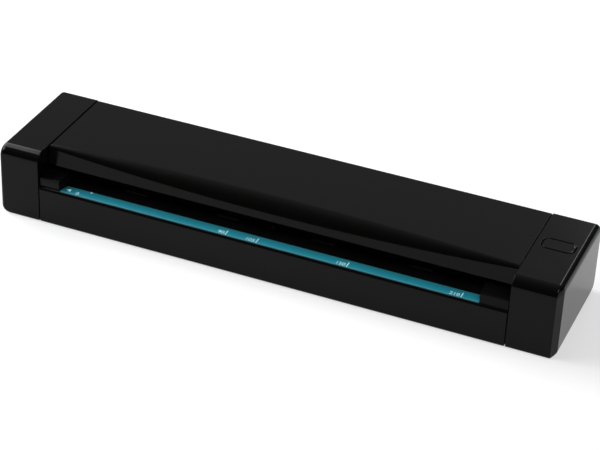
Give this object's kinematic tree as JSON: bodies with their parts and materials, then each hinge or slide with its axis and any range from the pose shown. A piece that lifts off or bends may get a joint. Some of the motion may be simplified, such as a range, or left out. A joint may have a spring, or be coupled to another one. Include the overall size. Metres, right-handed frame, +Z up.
{
  "type": "sheet-fed document scanner",
  "caption": "Slim portable sheet-fed scanner with a black body, a hinged top cover over the paper path, a teal guide strip and a scan button.",
  "frame": {"origin": "centre of the overall box, on the surface that the feet stand on", "axes": "+X along the body towards the button's end, -Y towards the paper mouth, +Z up"},
  "size_m": [0.29, 0.065, 0.038],
  "materials": {
    "black_gloss": "gloss black moulded plastic",
    "black_matte": "fine-grained black moulded plastic",
    "teal_strip": "satin teal plastic strip with light marks",
    "grey_plastic": "dark grey moulded plastic",
    "white_plastic": "white backing film",
    "gear_plastic": "natural acetal",
    "rubber": "matt black rubber",
    "steel": "ground steel",
    "spring_steel": "spring steel strip",
    "brass": "sintered bronze",
    "board": "green circuit board",
    "chip": "black moulded package",
    "clear_glass": "polished glass",
    "clear_plastic": "clear moulded plastic",
    "cable": "grey insulated lead",
    "ribbon": "flat flexible cable",
    "screw_steel": "dark plated steel"
  },
  "bodies": {
    "base": {"bottom_case": "black_gloss", "left_end_cap": "black_gloss", "right_end_cap": "black_gloss", "left_side_frame": "black_gloss", "right_side_frame": "black_gloss", "lower_paper_guide": "black_matte", "guide_strip": "teal_strip", "button_switch": "chip", "button_board": "board", "main_board": "board", "main_processor": "chip", "board_connectors": "white_plastic", "usb_socket": "steel", "board_screws": "steel", "lower_scan_housing": "grey_plastic", "lower_scan_glass": "clear_glass", "lower_light_guide": "clear_plastic", "lower_lens_array": "chip", "lower_sensor_board": "board", "lower_white_strip": "white_plastic", "lower_sensor_ribbon": "ribbon", "motor_cable": "cable", "drive_motor": "steel", "roller_bushes": "brass", "gear_axles": "steel", "axle_clips": "spring_steel", "hinge_pins": "steel", "catch_springs": "spring_steel", "light_gate": "chip", "rubber_feet": "rubber", "case_screws": "screw_steel", "frame_screws": "screw_steel"},
    "cover": {"top_cover": "black_gloss", "upper_paper_guide": "black_matte", "upper_scan_housing": "grey_plastic", "upper_scan_glass": "clear_glass", "upper_light_guide": "clear_plastic", "upper_lens_array": "chip", "upper_sensor_board": "board", "upper_white_strip": "white_plastic", "cover_catches": "black_matte", "pinch_springs": "spring_steel", "cover_screws": "screw_steel"},
    "feed_pinch_roller": {"feed_pinch_shaft": "steel", "feed_pinch_sleeves": "grey_plastic"},
    "exit_pinch_roller": {"exit_pinch_shaft": "steel", "exit_pinch_sleeves": "grey_plastic"},
    "feed_roller": {"feed_roller_shaft": "steel", "feed_roller_sleeves": "rubber", "feed_roller_gear": "gear_plastic"},
    "exit_roller": {"exit_roller_shaft": "steel", "exit_roller_sleeves": "rubber", "exit_roller_gear": "gear_plastic"},
    "idler": {"idler_gear": "gear_plastic"},
    "reduction": {"reduction_gear": "gear_plastic"},
    "motor_rotor": {"motor_shaft": "steel", "motor_pinion": "brass"},
    "button": {"scan_button": "black_gloss", "switch_plunger": "white_plastic"},
    "sensor_lever": {"paper_sensor_lever": "black_matte"}
  },
  "joints": [
    {"name": "cover_hinge", "type": "hinge", "parent": "base", "child": "cover", "pos_m": [0, 0.0273, 0.0312], "axis": [-1, 0, 0], "range_deg": [0, 75]},
    {"name": "scan_button_press", "type": "slide", "parent": "base", "child": "button", "axis": [0, 0, -1], "range_m": [0, 0.0006], "stiffness_N_per_m": 800},
    {"name": "feed_roller_spin", "type": "hinge", "parent": "base", "child": "feed_roller", "pos_m": [0, -0.013, 0.0163], "axis": [1, 0, 0], "continuous": true},
    {"name": "exit_roller_spin", "type": "hinge", "parent": "base", "child": "exit_roller", "pos_m": [0, 0.018, 0.0163], "axis": [1, 0, 0], "continuous": true},
    {"name": "idler_spin", "type": "hinge", "parent": "base", "child": "idler", "pos_m": [-0.1285, 0.0025, 0.0163], "axis": [1, 0, 0], "continuous": true},
    {"name": "reduction_spin", "type": "hinge", "parent": "base", "child": "reduction", "pos_m": [-0.13, -0.0206, 0.02279], "axis": [1, 0, 0], "continuous": true},
    {"name": "motor_spin", "type": "hinge", "parent": "base", "child": "motor_rotor", "pos_m": [-0.125, -0.02241, 0.01245], "axis": [1, 0, 0], "continuous": true},
    {"name": "feed_pinch_spin", "type": "hinge", "parent": "cover", "child": "feed_pinch_roller", "pos_m": [0, -0.013, 0.0236], "axis": [1, 0, 0], "continuous": true},
    {"name": "exit_pinch_spin", "type": "hinge", "parent": "cover", "child": "exit_pinch_roller", "pos_m": [0, 0.018, 0.0236], "axis": [1, 0, 0], "continuous": true},
    {"name": "sensor_lever_tilt", "type": "hinge", "parent": "base", "child": "sensor_lever", "pos_m": [-0.00285, -0.0185, 0.0145], "axis": [-1, 0, 0], "range_deg": [0, 35], "stiffness_Nm_per_rad": 0.0002}
  ],
  "couplings": [
    {"joint": "exit_roller_spin", "follows": "feed_roller_spin", "ratio": 1},
    {"joint": "idler_spin", "follows": "feed_roller_spin", "ratio": -0.82353},
    {"joint": "reduction_spin", "follows": "feed_roller_spin", "ratio": -2.3333},
    {"joint": "motor_spin", "follows": "feed_roller_spin", "ratio": 5.8333}
  ]
}
